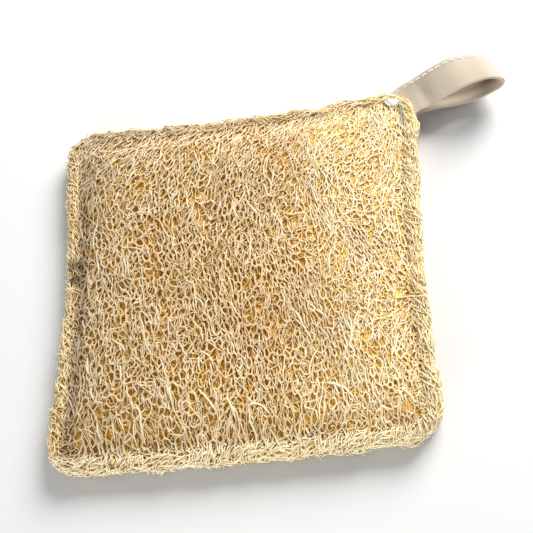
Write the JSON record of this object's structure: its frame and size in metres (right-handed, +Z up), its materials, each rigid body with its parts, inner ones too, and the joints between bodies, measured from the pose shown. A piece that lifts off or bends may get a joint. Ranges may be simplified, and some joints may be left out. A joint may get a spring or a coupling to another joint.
{
  "type": "natural loofah sponge",
  "caption": "Flat square scouring pad of natural loofah fibre, sewn round near its edge, with a folded cloth hanging loop at one corner.",
  "frame": {"origin": "on the supporting surface under the middle of the pad, on the flat crest at the middle of the under sheet", "axes": "+Z up out of the lying pad, +X and +Y along its sides, with the hanging loop at the corner where both are positive and reaching out along +X"},
  "size_m": [0.1497, 0.1307, 0.0176],
  "materials": {
    "loofah_top": "dry natural plant fibre, matte with a faint sheen",
    "loofah_under": "dry natural plant fibre, matte with a faint sheen",
    "linen_tape": "plain woven undyed linen, matte",
    "pale_thread": "off-white sewing thread, slight sheen"
  },
  "bodies": {
    "root": {"loofah_sheet_top": "loofah_top", "loofah_sheet_under": "loofah_under", "hanging_loop": "linen_tape", "loop_stitching_outer": "pale_thread", "loop_stitching_inner": "pale_thread", "seam_thread_top": "pale_thread", "seam_thread_under": "pale_thread"}
  },
  "joints": []
}
